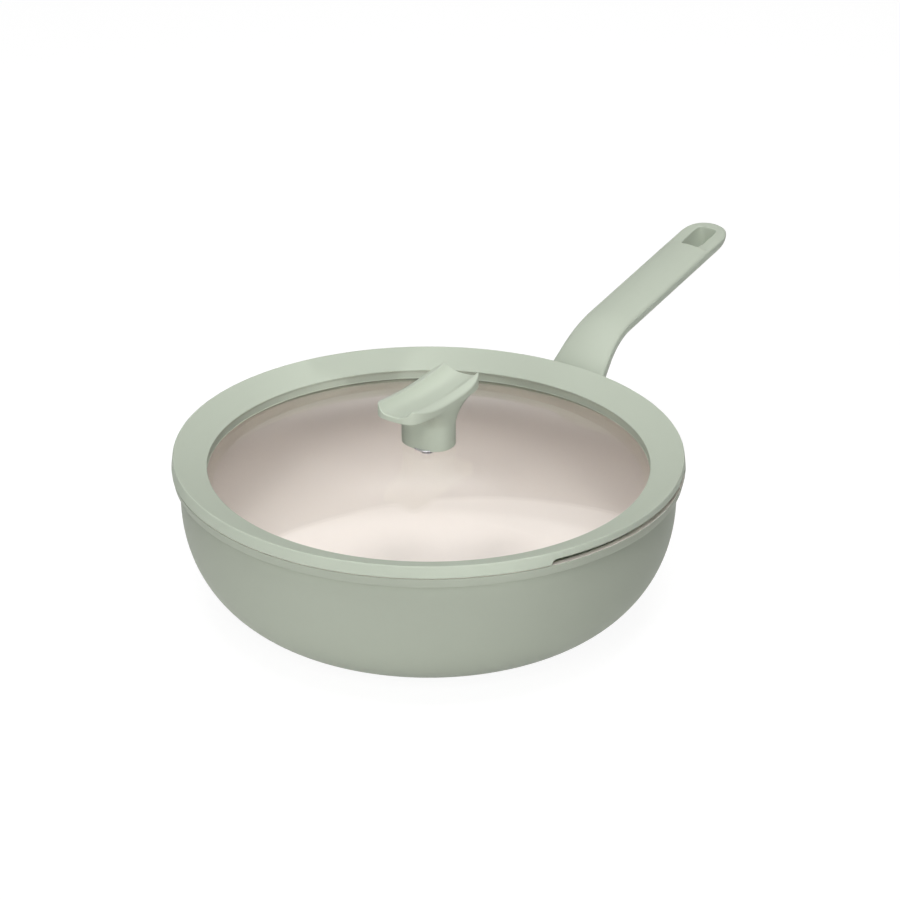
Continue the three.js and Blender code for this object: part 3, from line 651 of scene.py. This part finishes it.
# Lower face out to the ground edge, back over the upper face, and two holes.
def makeGlassDome():
    p = lid
    r = np.linspace(0, glassRadius - p["glassEdge"], p["glassRings"])
    rim = softLine([
        (r[-1], glassLow(r[-1]), 0),
        (glassRadius, glassLow(glassRadius), p["glassEdge"]),
        (glassRadius, glassTop(glassRadius), p["glassEdge"]),
        (r[-1], glassTop(r[-1]), 0),
    ])
    profile = np.concatenate([
        np.stack([r, glassLow(r)], axis=-1)[:-1], rim, np.stack([r, glassTop(r)], axis=-1)[::-1][1:],
    ])
    sheets = [dict(points=turned(profile, fullTurn(p["glassSegments"])), wrapRows=True)]
    holes = []
    for place, radius in ((ventPlace, vent["hole"]), (screwPlace, fastener["hole"])):
        holes.append(rod(radius, p["holeLow"], p["holeHigh"], p["holeSegments"], place))
    return makePiece("glassDome", sheets, [clearGlass], "lid", ["lid_glass"], [holes])


makeGlassDome()

# Silicone rim: a funnel with a band and a skirt, a strainer slot at either side and flutes behind it

strainer = dict(
    ridgeRound=1.1, lipRound=0.45, lipUnder=0.36, lipCorner=0.4, toeRise=0.24, toeRound=0.2, toeEdge=0.05,
    lowRound=0.5, lowCorner=0.4, lowEdge=0.3, bandFootRound=0.5, slotHeight=2.9, slotHalf=28.4, slotEnd=1.5,
    flutes=11, fluteSpread=48.0, fluteWidth=3.0, fluteDepth=1.8, fluteEdge=0.35, fluteReach=2.5,
    fineStep=0.2, fineHalf=30.0, coarseStep=2.0, bandSteps=7, roofSteps=5, skirtSteps=9, footSteps=6,
    bandStart=0.25, leanFrom=1.0,
)


# Angles all round: close together at both slots, wider apart between them.
def strainerAngles():
    p = strainer
    fine = np.arange(-p["fineHalf"], p["fineHalf"] + p["fineStep"] / 2, p["fineStep"])
    coarse = np.arange(p["fineHalf"] + p["coarseStep"], 180 - p["fineHalf"], p["coarseStep"])
    half = np.concatenate([fine, coarse])
    return np.radians(np.concatenate([half - 90, half + 90]))


# Share of the slot's full height at an angle: 1 inside it, falling in a quarter round at its ends.
def slotShare(angles):
    p = strainer
    fromMiddle = np.abs(np.abs(np.degrees(np.angle(np.exp(1j * angles)))) - 90)
    intoEnd = np.clip((fromMiddle - p["slotHalf"] + p["slotEnd"]) / p["slotEnd"], 0, 1)
    return np.sqrt(1 - intoEnd ** 2)


# Share of a flute's depth at an angle: 1 in each flute with short sloped sides.
def fluteShare(angles):
    p = strainer
    fromMiddle = np.abs(np.degrees(np.angle(np.exp(1j * angles)))) - 90
    pitch = p["fluteSpread"] / (p["flutes"] - 1)
    nearest = np.clip(np.round(fromMiddle / pitch), -(p["flutes"] - 1) / 2, (p["flutes"] - 1) / 2) * pitch
    away = np.radians(np.abs(fromMiddle - nearest)) * skirtRadius
    half = p["fluteWidth"] / 2
    return 1 - easeStep(half - p["fluteEdge"], half + p["fluteEdge"], away)


# Faces of the groove that grips the glass.
def grooveTop(r):
    return glassTop(r) + lid["gripGap"]


def grooveLow(r):
    return glassLow(r) - lid["gripGap"]


# One closed profile carried round; the slot lifts the band's foot and the flutes press the skirt in.
def makeStrainerRim():
    p = strainer
    wallRadius = lipRadius + lid["lipOverhang"]
    toeRadius = wallRadius - lid["lipToe"]
    lowerRadius = lipRadius + lid["lowerLipSetback"]
    skirtLow = grooveLow(grooveRadius) - lid["lowerLip"]
    ridge = rimRadius - lid["bandLean"]
    # Lip, funnel and ridge, down to the top of the band.
    inside = softLine([
        (grooveRadius, grooveTop(grooveRadius), 0),
        (toeRadius, grooveTop(toeRadius), p["toeEdge"]),
        (wallRadius, grooveTop(wallRadius) + p["toeRise"], p["toeRound"]),
        (wallRadius, lipTop - lid["lipThick"], p["lipCorner"]),
        (lipRadius, lipTop - lid["lipThick"] / 2, p["lipUnder"]),
        (lipRadius, lipTop, p["lipRound"]),
        (ridge, ridgeHeight, p["ridgeRound"]),
        (ridge + lid["bandLean"] * p["bandStart"], ridgeHeight - lid["bandHeight"] * p["bandStart"], 0),
    ])
    bandTop = inside[-1]
    share = np.linspace(0, 1, p["bandSteps"] + 1)[1:, None]
    band = blendBetween(bandTop, np.array([rimRadius, lidLow + p["bandFootRound"]]), share)
    foot = softLine([(*band[-1], 0), (rimRadius, lidLow, p["bandFootRound"]),
                     (rimRadius - 2 * p["bandFootRound"], lidLow, 0)], steps=p["footSteps"])[1:]
    roofIn = np.linspace(foot[-1, 0], skirtRadius, p["roofSteps"] + 1)[1:]
    roof = np.stack([roofIn, np.full(p["roofSteps"], lidLow)], axis=-1)
    skirtFoot = skirtLow + lid["lowerLip"] / 2
    skirtDown = np.linspace(lidLow, skirtFoot, p["skirtSteps"] + 1)[1:]
    skirt = np.stack([np.full(p["skirtSteps"], skirtRadius), skirtDown], axis=-1)
    under = softLine([
        (*skirt[-1], 0),
        (skirtRadius - lid["lowerLip"] / 2, skirtLow, p["lowRound"]),
        (lowerRadius + lid["lowerLip"] / 2, skirtLow, p["lowRound"]),
        (lowerRadius, grooveLow(lowerRadius) - lid["lowerLip"] / 2, p["lowCorner"]),
        (lowerRadius, grooveLow(lowerRadius), p["lowEdge"]),
        (grooveRadius, grooveLow(grooveRadius), 0),
    ])[1:]
    profile = np.concatenate([inside, band, foot, roof, skirt, under])
    # How far each profile point rises with the slot.
    lift = np.concatenate([
        np.zeros(len(inside)),
        (bandTop[1] - band[:, 1]) / (bandTop[1] - lidLow),
        np.ones(len(foot) + len(roof)),
        (skirt[:, 1] - skirtFoot) / (lidLow - skirtFoot),
        np.zeros(len(under)),
    ])
    inFlute = np.concatenate([
        np.zeros(len(inside) + len(band) + len(foot) + len(roof)),
        np.ones(len(skirt)),
        np.where(under[:, 0] > skirtRadius - p["fluteReach"], 1.0, 0.0),
    ])
    angles = strainerAngles()
    points = turned(profile, angles)
    rise = np.outer(slotShare(angles) * p["slotHeight"], lift)
    lean = np.outer(slotShare(angles), lift * (profile[:, 0] > skirtRadius + p["leanFrom"]))
    inset = np.outer(fluteShare(angles) * p["fluteDepth"], inFlute)
    inset += lean * lid["bandLean"] * p["slotHeight"] / lid["bandHeight"]
    points[..., 2] += rise
    points[..., 0] -= inset * np.cos(angles)[:, None]
    points[..., 1] -= inset * np.sin(angles)[:, None]
    sheets = [dict(points=points, wrapRows=True, wrapCols=True)]
    return makePiece("strainerRim", sheets, [siliconeSkin], "lid", ["lid_rim"])


makeStrainerRim()

# Knob: an oval stem that sweeps out into a wing with a trough along its top

knob = dict(
    footLength=25.0, footWidth=31.7, stemHeight=14.2, sweepHeight=12.2, wingLength=72.0, wingWidth=33.0,
    wingEdge=5.1, endRise=3.0, scoop=5.0, scoopWidth=22.6, scoopPower=3.6, crestFall=2.0, stemPower=2.3,
    wingPower=3.8, edgeRound=0.7, creaseSoft=0.03, footRound=0.6, flangeGap=0.05, cutUnder=3.0, around=256,
    underRows=7, footRows=6, sweepRows=26, sideRows=4, rollRows=8, outerRows=59, innerRows=39,
    innerShare=0.6, cutSegments=64, sharp=50,
)
knobFoot = glassTop(0) + lid["seat"]
stemTop = knobFoot + knob["stemHeight"]
wingLow = stemTop + knob["sweepHeight"]
flangeTop = knobFoot + vent["flangeThick"]
sealTop = knobFoot + fastener["seal"]


# Height of the wing's crest along its length: lifted towards both ends as a square.
def crestHeight(x):
    return wingLow + knob["wingEdge"] + knob["endRise"] * (2 * x / knob["wingLength"]) ** 2


# Top of the wing: between the brinks a trough of depth times 1 - |share|^power, outside them crests
# that fall as a square; the crease at the brink is softened by a short blend.
def wingTop(x, y):
    brink = knob["scoopWidth"] / 2
    share = np.abs(y) / brink
    inside = 1 - share ** knob["scoopPower"]
    hollow = (inside + np.sqrt(inside ** 2 + knob["creaseSoft"] ** 2)) / 2
    beyond = np.maximum(np.abs(y) - brink, 0) / (knob["wingWidth"] / 2 - brink)
    return crestHeight(x) - knob["scoop"] * hollow - knob["crestFall"] * beyond ** 2


# Rings from the foot's middle up the stem, out to the wing and over its edge to the middle of the top.
def makeKnob():
    p = knob
    turn = fullTurn(p["around"])[None]
    footX, footY = p["footLength"] / 2, p["footWidth"] / 2
    wingX, wingY = p["wingLength"] / 2, p["wingWidth"] / 2

    def level(x, y, z):
        x, y, z = np.broadcast_arrays(x, y, z)
        return np.stack([x, y, z], axis=-1)

    # Foot and stem: one upright oval with a rounded lower edge.
    edge = np.linspace(0, np.pi / 2, p["footRows"])[:, None]
    inset = p["footRound"] * (1 - np.sin(edge))
    x, y = oblong(footX - inset, footY - inset, p["stemPower"], turn)
    rounded = level(x, y, knobFoot + p["footRound"] * (1 - np.cos(edge)))
    shut = np.linspace(0, 1, p["underRows"] + 1)[:-1, None]
    x, y = oblong((footX - p["footRound"]) * shut, (footY - p["footRound"]) * shut, p["stemPower"], turn)
    under = level(x, y, knobFoot)
    # Sweep: a quarter round in the wing's length, so the wing's underside runs out flat.
    v = np.sin(np.linspace(0, np.pi / 2, p["sweepRows"]))[:, None]
    x, y = oblong(blendBetween(footX, wingX, 1 - np.sqrt(1 - v ** 2)), blendBetween(footY, wingY, v),
                  blendBetween(p["stemPower"], p["wingPower"], v), turn)
    sweep = level(x, y, stemTop + v * p["sweepHeight"])
    # Wing: upright sides up to the top's own outline, then its edge rolled over.
    x, y = oblong(wingX, wingY, p["wingPower"], turn)
    share = np.linspace(0, 1, p["sideRows"] + 1)[1:, None]
    sides = level(x, y, blendBetween(wingLow, wingTop(x, y) - p["edgeRound"], share))
    roll = np.linspace(0, np.pi / 2, p["rollRows"] + 1)[1:, None]
    inset = p["edgeRound"] * (1 - np.cos(roll))
    x, y = oblong(wingX - inset, wingY - inset, p["wingPower"], turn)
    rolled = level(x, y, wingTop(x, y) - p["edgeRound"] * (1 - np.sin(roll)))
    # Top face: the rolled edge's outline shrunk ring by ring to the middle.
    outer = np.linspace(1, p["innerShare"], p["outerRows"] + 1)[1:]
    inner = np.linspace(p["innerShare"], 0, p["innerRows"] + 1)[1:]
    shut = np.concatenate([outer, inner])[:, None]
    x, y = oblong((wingX - p["edgeRound"]) * shut, (wingY - p["edgeRound"]) * shut, p["wingPower"], turn)
    top = level(x, y, wingTop(x, y))
    sheets = [dict(points=np.concatenate([under, rounded, sweep, sides, rolled, top]), wrapCols=True)]

    def pocket(place, radius, high):
        return [rod(radius, knobFoot - p["cutUnder"], high, p["cutSegments"], place)]

    f = fastener
    cutters = [
        pocket(ventPlace, vent["flange"] + p["flangeGap"], flangeTop + p["flangeGap"]),
        pocket(screwPlace, f["sealUpper"] + f["gap"], sealTop + f["gap"]),
        pocket(screwPlace, f["insert"] + f["gap"], sealTop + 2 * f["gap"] + f["insertLength"]),
    ]
    return makePiece("knobShell", sheets, [gripSkin], "lid", ["lid_knob"], cutters,
                     p["sharp"])


makeKnob()

# Small turned pieces of the lid: eyelet, seals, washer, screw and insert

fitting = dict(segments=72, steps=5, screwSteps=6, socket=0.8, socketRise=0.6, face=0.92)


# A closed profile with rounded corners carried round an upright line.
def turnedRing(corners, place=(0, 0)):
    line = softLine(corners, closed=True, steps=fitting["steps"])
    return dict(points=turned(line, fullTurn(fitting["segments"]), place), wrapRows=True, wrapCols=True)


# The eyelet on the vent's line, the rest stacked on the screw's line.
def makeLidFittings():
    f, e = fastener, vent
    hole = f["screw"] + f["gap"]

    def fit(name, corners, place, finish, node):
        return makePiece(name, [turnedRing(corners, place)], [finish], "lid", [node])

    curlTop = glassLow(e["offset"] + e["curl"]) - lid["seat"]
    curlLow = curlTop - e["curlThick"]
    fit("ventEyelet", [
        (e["bore"], curlLow, 0.1), (e["curl"], curlLow, 0.25), (e["curl"], curlTop, 0.2),
        (e["barrel"], curlTop, 0.05), (e["barrel"], knobFoot, 0.05),
        (e["flange"], knobFoot, 0.2), (e["flange"], flangeTop, 0.4),
        (e["bore"] + e["funnel"], flangeTop, 0.3), (e["bore"], knobFoot, 0.2),
    ], ventPlace, brightSteel, "vent_eyelet")
    underGlass = glassLow(f["offset"] + f["sealLower"]) - lid["seat"]
    washerTop = underGlass - f["seal"]
    headTop = washerTop - f["washerThick"]
    headLow = headTop - f["headHeight"]
    insertLow = sealTop + f["gap"]
    insertTop = insertLow + f["insertLength"]
    sealLow = glassTop(0) + lid["seat"] / 2
    fit("upperSeal", [
        (hole, sealLow, 0.1), (f["sealUpper"], sealLow, 0.3),
        (f["sealUpper"], sealTop, 0.3), (hole, sealTop, 0.1),
    ], screwPlace, sealSkin, "knob_seal_upper")
    fit("lowerSeal", [
        (hole, washerTop, 0.1), (f["sealLower"], washerTop, 0.3), (f["sealLower"], underGlass, 0.3),
        (hole + f["sleeve"], underGlass, 0.1), (hole + f["sleeve"], glassTop(0) - lid["seat"], 0.1),
        (hole, glassTop(0) - lid["seat"], 0.1),
    ], screwPlace, sealSkin, "knob_seal_lower")
    fit("knobWasher", [
        (hole, headTop, 0.1), (f["washer"], headTop, 0.2),
        (f["washer"], washerTop, 0.2), (hole, washerTop, 0.1),
    ], screwPlace, brightSteel, "knob_washer")
    fit("knobInsert", [
        (hole, insertLow, 0.2), (f["insert"], insertLow, 0.3),
        (f["insert"], insertTop, 0.3), (hole, insertTop, 0.2),
    ], screwPlace, brassMetal, "knob_insert")
    end = insertLow + f["insertLength"] * f["bite"]
    makeScrew("knobScrew", f["screw"], f["head"], headLow, headTop, end, "lid", "knob_screw",
              lambda grid: grid + np.array([*screwPlace, 0]))


# Pan-head screw: rounded head with a six-sided socket, plain shank with a rounded end.
def makeScrew(name, shank, head, headLow, headTop, end, body, node, stand):
    around = fullTurn(fitting["segments"])
    socket = shank * fitting["socket"]
    socketTop = blendBetween(headLow, headTop, fitting["socketRise"])
    outside = softLine([
        (socket, headLow, 0), (head * fitting["face"], headLow, 0.6),
        (head, socketTop, 0.5), (head, headTop, 0.15),
        (shank, headTop, 0.15), (shank, end, 0.5), (0, end, 0),
    ], steps=fitting["screwSteps"])
    inner = np.array([[0, socketTop], [socket / 2, socketTop], [socket, socketTop], [socket, headLow]])
    six = np.cos(np.pi / 6) / np.cos((around + np.pi / 6) % (np.pi / 3) - np.pi / 6)
    sink = turned(inner, around)
    sink[..., :2] *= six[:, None, None]
    skin = turned(outside, around)
    skin[:, 0] = sink[:, -1]  # the head's face starts at the socket's edge
    sheets = [dict(points=stand(skin), wrapRows=True), dict(points=stand(sink), wrapRows=True)]
    return makePiece(name, sheets, [brightSteel], body, [node])


makeLidFittings()

# Handle's fixing: the screw and its washer under the neck; the bracket keeps its own solid

fixing = dict(screw=2.4, head=4.4, headHeight=2.6, washer=4.9, washerThick=0.8, gap=0.3, end=-7.0)


# The screw and the washer stand square to the neck.
def makeHandleFixing():
    f = fixing
    seat = handle["washerSeat"]
    headTop = seat - f["washerThick"]
    makeScrew("handleScrew", f["screw"], f["head"], headTop - f["headHeight"], headTop, f["end"], "pan",
              "handle_screw", onNeckLine)
    hole = f["screw"] + f["gap"]
    ring = turnedRing([
        (hole, headTop, 0.1), (f["washer"], headTop, 0.2), (f["washer"], seat, 0.2), (hole, seat, 0.1),
    ])
    ring["points"] = onNeckLine(ring["points"])
    makePiece("handleWasher", [ring], [brightSteel], "pan", ["handle_washer"])
    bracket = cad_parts["handle_bracket"]
    bracket.data.materials.clear()
    bracket.data.materials.append(castMetal)


makeHandleFixing()
print("pieces made")

# Stage: a pale floor, soft lamps and the camera

stage = dict(
    floorSize=9.0, floorColour=(0.95, 0.95, 0.95, 1), floorSeen=(0.16, 0.16, 0.16, 1), floorGlow=0.92,
    floorRough=0.9, floorShine=0.1, lampAim=(0, 0, 0.05),
)
view = dict(
    azimuth=-55.5, elevation=25.45, distance=2182.5, lens=153.4, sensor=36.0, aimHeight=94.2,
    shiftX=0.0238, shiftY=-0.0007,
)
lamps = (
    dict(name="topLamp", turn=124.5, rise=75.0, distance=1.35, power=6.2, size=(1.85, 1.43), roll=16.0),
    dict(name="rightKey", turn=-12.0, rise=74.0, distance=1.8, power=6.9, size=(0.4, 0.4)),
    dict(name="leftKey", turn=-98.0, rise=74.0, distance=1.8, power=6.6, size=(0.4, 0.4)),
    dict(name="frontLamp", turn=-65.5, rise=42.0, distance=1.8, power=5.8, size=(0.6, 0.5)),
    dict(name="lowLamp", turn=-73.0, rise=12.0, distance=2.0, power=14.3, size=(1.2, 1.0)),
    dict(name="handleSpot", turn=0.0, rise=34.0, distance=1.8, power=18.0, aim=(0.15, 0.16, 0.14),
         cone=18.5, blend=0.4, soft=0.15),
    dict(name="knobSpot", turn=-40.0, rise=14.0, distance=1.8, power=29.0, aim=(0.0, 0.0, 0.108),
         cone=4.5, blend=0.6, soft=0.03),
)
worldGlow = dict(
    light=0.02, low=1.0, high=0.2, highAt=0.35, panel=0.8, panelTurn=130.0, panelRise=44.5, panelSoft=0.035,
)


# The direction from the object to a lamp or camera at an azimuth and an elevation.
def direction(azimuth, elevation):
    a, e = np.radians(azimuth), np.radians(elevation)
    return np.array([np.sin(a) * np.cos(e), -np.cos(a) * np.cos(e), np.sin(e)])


# Stands an object at a place, looking at a target, rolled about its line of sight.
def aimAt(obj, place, target, roll=0.0):
    obj.location = Vector(place)
    look = (Vector(target) - Vector(place)).to_track_quat("-Z", "Y")
    obj.rotation_euler = (look @ Quaternion((0, 0, 1), np.radians(roll))).to_euler()


# 1 for rays from the camera, a mirror or glass, and 0 for the light that falls on things.
def straightLook(tree):
    rays = addNode(tree, "LightPath").outputs
    seen = rays["Is Camera Ray"]
    for label in ("Is Glossy Ray", "Is Transmission Ray"):
        seen = addNode(tree, "Math", {0: seen, 1: rays[label]}, operation="MAXIMUM").outputs["Value"]
    return seen


# A flat square at the pan's foot that keeps the shadow.
def makeFloor():
    half = stage["floorSize"] / 2 / mm
    line = np.linspace(-half, half, 3)
    x, y = np.meshgrid(line, line, indexing="ij")
    sheet = dict(points=np.stack([x, y, np.zeros_like(x)], axis=-1))
    floor = addObject("floor", bareMesh("floor", [sheet]))
    material, tree, shader = newMaterial("paleFloor")
    seen = straightLook(tree)
    # Looked at directly, it glows more and shades less.
    tint = addNode(tree, "Mix", {
        "Factor": seen, "A": stage["floorColour"], "B": stage["floorSeen"],
    }, data_type="RGBA")
    glow = addNode(tree, "Math", {0: seen, 1: stage["floorGlow"]}, operation="MULTIPLY")
    feed(tree, shader, {
        "Base Color": tint.outputs["Result"], "Roughness": stage["floorRough"],
        "Specular IOR Level": stage["floorShine"], "Emission Color": (1, 1, 1, 1),
        "Emission Strength": glow.outputs["Value"],
    })
    floor.data.materials.append(material)


# The world lights little and is mostly there to be seen and mirrored; the lamps do the rest.
def makeLight():
    world = bpy.data.worlds.new("softWorld")
    bpy.context.scene.world = world
    world.use_nodes = True
    tree, glow = world.node_tree, worldGlow
    away = addNode(tree, "TexCoord").outputs["Generated"]
    height = addNode(tree, "SeparateXYZ", {"Vector": away}).outputs["Z"]
    # White at the horizon, grey overhead.
    fade = addNode(tree, "MapRange", {
        "Value": height, "From Max": glow["highAt"], "To Min": glow["low"], "To Max": glow["high"],
    }, interpolation_type="SMOOTHSTEP")
    # A white panel overhead, for the glass to mirror.
    edge = np.radians(glow["panelRise"])
    square = np.cos(edge) * direction(0, 90) - np.sin(edge) * direction(glow["panelTurn"], 0)
    over = addNode(tree, "VectorMath", {0: away, 1: square}, operation="DOT_PRODUCT")
    panel = addNode(tree, "MapRange", {
        "Value": over.outputs["Value"], "From Min": -glow["panelSoft"], "From Max": glow["panelSoft"],
        "To Max": glow["panel"],
    }, interpolation_type="SMOOTHSTEP")
    brighter = addNode(tree, "Math", {
        0: fade.outputs["Result"], 1: panel.outputs["Result"],
    }, operation="MAXIMUM")
    spread = addNode(tree, "MapRange", {
        "Value": straightLook(tree), "To Min": glow["light"], "To Max": brighter.outputs["Value"],
    })
    feed(tree, tree.nodes["Background"], {"Color": (1, 1, 1, 1), "Strength": spread.outputs["Result"]})
    for lamp in lamps:
        data = bpy.data.lights.new(lamp["name"], "SPOT" if "cone" in lamp else "AREA")
        data.energy = lamp["power"]
        if "cone" in lamp:
            data.spot_size = np.radians(lamp["cone"])
            data.spot_blend = lamp["blend"]
            data.shadow_soft_size = lamp["soft"]
        else:
            data.shape = "RECTANGLE"
            data.size, data.size_y = lamp["size"]
        away = direction(lamp["turn"], lamp["rise"]) * lamp["distance"]
        place = np.array(lamp.get("aim", (0, 0, 0))) + away
        target = lamp.get("aim", stage["lampAim"])
        aimAt(addObject(lamp["name"], data), place, target, lamp.get("roll", 0.0))


# The camera stands off along the view's direction and looks at a height on the pan's axis.
def makeCamera():
    data = bpy.data.cameras.new("camera")
    data.lens = view["lens"]
    data.sensor_width = view["sensor"]
    data.shift_x = view["shiftX"]
    data.shift_y = view["shiftY"]
    obj = addObject("camera", data)
    aim = np.array([0, 0, view["aimHeight"]])
    spot = aim + direction(view["azimuth"], view["elevation"]) * view["distance"]
    aimAt(obj, spot * mm, aim * mm)
    bpy.context.scene.camera = obj


makeFloor()
makeLight()
makeCamera()
bpy.context.scene.view_settings.view_transform = "Standard"
print("stage made")
